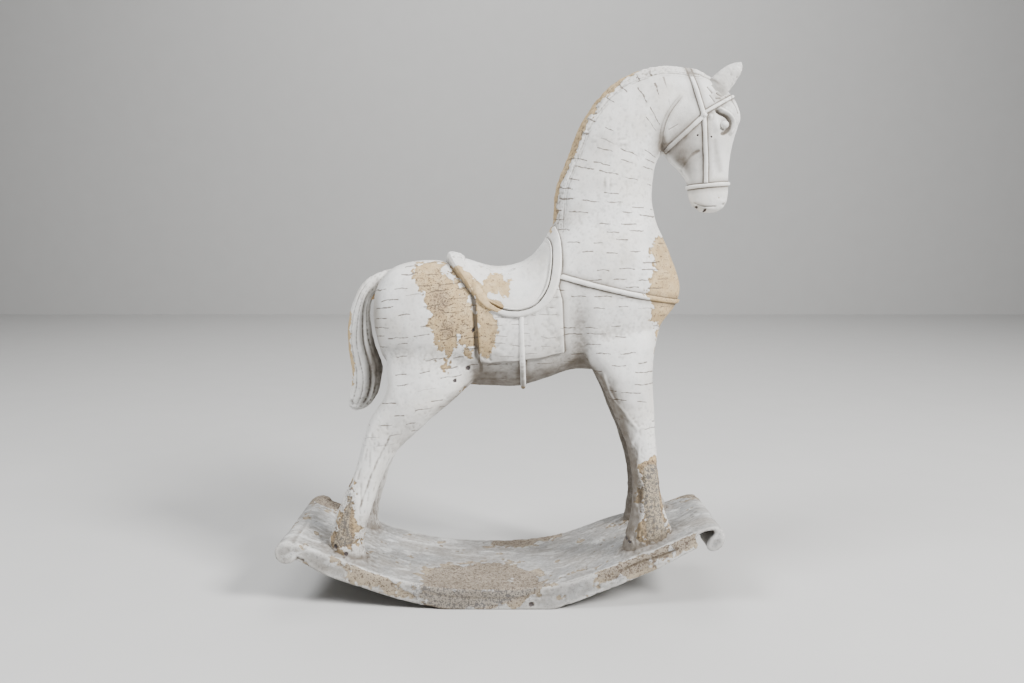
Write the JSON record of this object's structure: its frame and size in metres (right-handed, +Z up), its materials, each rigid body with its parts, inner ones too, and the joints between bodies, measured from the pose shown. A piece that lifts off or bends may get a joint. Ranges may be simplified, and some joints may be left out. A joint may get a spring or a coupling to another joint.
{
  "type": "rocking horse ornament",
  "caption": "Carved rocking horse with relief saddle, cloth, girth and bridle on one wide curved rocker board with scrolled ends and a flat to rest on.",
  "frame": {"origin": "middle of the rocker board's footprint, on the surface that the flat of the board stands on", "axes": "+X towards the horse's nose, +Y to the horse's left, +Z up"},
  "size_m": [0.3108, 0.0994, 0.3607],
  "materials": {
    "cream_paint": "distressed cream-white paint over tan undercoat",
    "board_paint": "worn grey-white paint over sandy undercoat",
    "cloth_paint": "distressed cream paint rubbed back to tan",
    "bare_wood": "plain unpainted hardwood",
    "steel": "plain"
  },
  "bodies": {
    "root": {"breast_strap": "cream_paint", "bridle_rosette_left": "cream_paint", "bridle_rosette_right": "cream_paint", "browband": "cream_paint", "cheek_strap_left": "cream_paint", "cheek_strap_right": "cream_paint", "ear_left": "cream_paint", "ear_right": "cream_paint", "eye_left": "cream_paint", "eye_right": "cream_paint", "fore_foot_pin_left": "steel", "fore_foot_pin_right": "steel", "fore_left_leg": "cream_paint", "fore_right_leg": "cream_paint", "front_scroll": "board_paint", "girth_strap": "cream_paint", "head": "cream_paint", "head_dowel": "bare_wood", "headpiece": "cream_paint", "hind_foot_pin_left": "steel", "hind_foot_pin_right": "steel", "hind_left_leg": "cream_paint", "hind_right_leg": "cream_paint", "hip_dowel_left": "bare_wood", "hip_dowel_right": "bare_wood", "neck": "cream_paint", "neck_dowel": "bare_wood", "noseband": "cream_paint", "rear_scroll": "board_paint", "rocker_board": "board_paint", "saddle_cloth": "cloth_paint", "saddle_roll_left": "cream_paint", "saddle_roll_right": "cream_paint", "saddle_seat": "cream_paint", "shoulder_dowel_left": "bare_wood", "shoulder_dowel_right": "bare_wood", "tail": "cream_paint", "tail_peg": "bare_wood", "throat_lash_left": "cream_paint", "throat_lash_right": "cream_paint", "torso": "cream_paint"}
  },
  "joints": []
}
